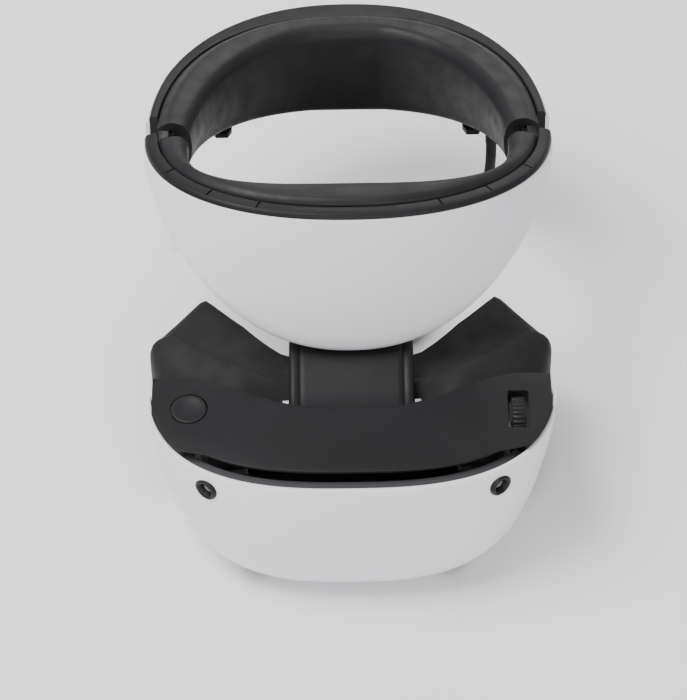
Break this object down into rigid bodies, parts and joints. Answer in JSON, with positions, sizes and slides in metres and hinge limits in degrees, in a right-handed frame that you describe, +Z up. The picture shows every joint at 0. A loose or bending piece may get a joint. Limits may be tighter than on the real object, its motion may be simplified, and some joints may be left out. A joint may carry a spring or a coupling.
{
  "type": "vr headset",
  "caption": "Head-worn display: telescoping halo head band with pads, and a visor that slides on a neck, with tracking cameras, lens-spacing wheel, light shield and cable.",
  "frame": {"origin": "middle of the head opening, in the plane of the head band", "axes": "-Y the way the wearer looks, +X the wearer's left, +Z up; the band's plane is tilted 13 degrees about X, front up"},
  "size_m": [0.2084, 0.3154, 0.1792],
  "materials": {
    "white_shell": "satin moulded",
    "black_shell": "fine moulded texture",
    "pad": "soft satin synthetic skin over foam",
    "rubber": "matt",
    "button_black": "satin",
    "steel": "brushed",
    "brass": "turned",
    "aluminium": "satin",
    "gloss_black": "polished",
    "lens_glass": "coated",
    "board": "dark solder mask",
    "inner_plastic": "matt"
  },
  "bodies": {
    "front_band": {"front_cover": "white_shell", "front_frame": "black_shell", "forehead_pad": "pad", "arm_left": "black_shell", "arm_right": "black_shell", "neck": "black_shell", "guide_rail_left": "steel", "guide_rail_right": "steel", "cable": "rubber", "cable_coil": "rubber", "cable_tie": "pad", "cable_tail": "rubber", "cable_plug": "rubber"},
    "rear_band": {"rear_cover": "white_shell", "rear_frame": "black_shell", "rear_pad": "pad", "earbud_holder_left": "button_black", "earbud_holder_right": "button_black", "headphone_socket": "gloss_black", "cable_gland": "rubber"},
    "dial": {"size_dial": "white_shell", "dial_shaft": "steel", "dial_button_spring": "steel"},
    "dial_release": {"dial_button": "button_black"},
    "visor": {"visor_front_cover": "white_shell", "camera_upper_left": "gloss_black", "camera_upper_right": "gloss_black", "camera_lower_left": "gloss_black", "camera_lower_right": "gloss_black", "visor_top_panel": "black_shell", "vent_ledge": "inner_plastic", "visor_bottom_panel": "black_shell", "visor_chassis": "inner_plastic", "slide_shoe_left": "brass", "slide_shoe_right": "brass", "circuit_board": "board", "heat_sink": "aluminium", "fan_housing": "inner_plastic", "wear_sensor": "gloss_black", "light_shield": "rubber", "release_button_spring": "steel"},
    "release_button": {"visor_release_button": "button_black"},
    "spacing_wheel": {"lens_spacing_wheel": "button_black", "lens_spacing_screw": "brass"},
    "lens_unit_left": {"lens_barrel_left": "inner_plastic", "lens_left": "lens_glass", "display_left": "gloss_black", "lens_rack_left": "steel", "screw_nut": "brass"},
    "lens_unit_right": {"lens_barrel_right": "inner_plastic", "lens_right": "lens_glass", "display_right": "gloss_black", "lens_rack_right": "steel"},
    "rack_pinion": {"lens_pinion": "brass"},
    "power_key": {"power_button": "button_black"},
    "function_key": {"function_button": "button_black"},
    "fan": {"fan_rotor": "inner_plastic"}
  },
  "joints": [
    {"name": "band_slide", "type": "slide", "parent": "front_band", "child": "rear_band", "axis": [0, 0.9744, -0.225], "range_m": [-0.005, 0.02], "deforming": ["cable"]},
    {"name": "dial_turn", "type": "hinge", "parent": "rear_band", "child": "dial", "pos_m": [0, 0.12472, -0.05548], "axis": [0, 0.9744, -0.225], "range_deg": [-74, 290]},
    {"name": "dial_button_press", "type": "slide", "parent": "dial", "child": "dial_release", "axis": [0, -0.9744, 0.225], "range_m": [0, 0.0009], "stiffness_N_per_m": 900, "springref_m": -0.0012, "deforming": ["dial_button_spring"]},
    {"name": "visor_slide", "type": "slide", "parent": "front_band", "child": "visor", "axis": [0, -1, 0], "range_m": [-0.006, 0.022]},
    {"name": "release_press", "type": "slide", "parent": "visor", "child": "release_button", "axis": [0, 0, -1], "range_m": [0, 0.0015], "stiffness_N_per_m": 700, "springref_m": -0.0015, "deforming": ["release_button_spring"]},
    {"name": "lens_spacing", "type": "slide", "parent": "visor", "child": "lens_unit_left", "axis": [1, 0, 0], "range_m": [-0.0025, 0.0035]},
    {"name": "lens_spacing_right", "type": "slide", "parent": "visor", "child": "lens_unit_right", "axis": [1, 0, 0], "range_m": [-0.0036, 0.0026]},
    {"name": "wheel_turn", "type": "hinge", "parent": "visor", "child": "spacing_wheel", "pos_m": [0.0832, -0.1233, -0.0715], "axis": [1, 0, 0], "range_deg": [-275, 320]},
    {"name": "pinion_turn", "type": "hinge", "parent": "visor", "child": "rack_pinion", "pos_m": [0, -0.133, -0.103], "axis": [0, 1, 0], "range_deg": [-30, 35]},
    {"name": "power_press", "type": "slide", "parent": "visor", "child": "power_key", "axis": [0, 0, 1], "range_m": [0, 0.0008], "stiffness_N_per_m": 800, "springref_m": -0.001},
    {"name": "function_press", "type": "slide", "parent": "visor", "child": "function_key", "axis": [0, 0, 1], "range_m": [0, 0.0008], "stiffness_N_per_m": 800, "springref_m": -0.001},
    {"name": "fan_turn", "type": "hinge", "parent": "visor", "child": "fan", "pos_m": [0.022, -0.156, -0.104], "axis": [0, 1, 0], "continuous": true}
  ],
  "couplings": [
    {"joint": "dial_turn", "follows": "band_slide", "rad_per_m": 250},
    {"joint": "lens_spacing_right", "follows": "lens_spacing", "ratio": -1},
    {"joint": "wheel_turn", "follows": "lens_spacing", "rad_per_m": 1570.8},
    {"joint": "pinion_turn", "follows": "lens_spacing", "rad_per_m": 166.67}
  ]
}
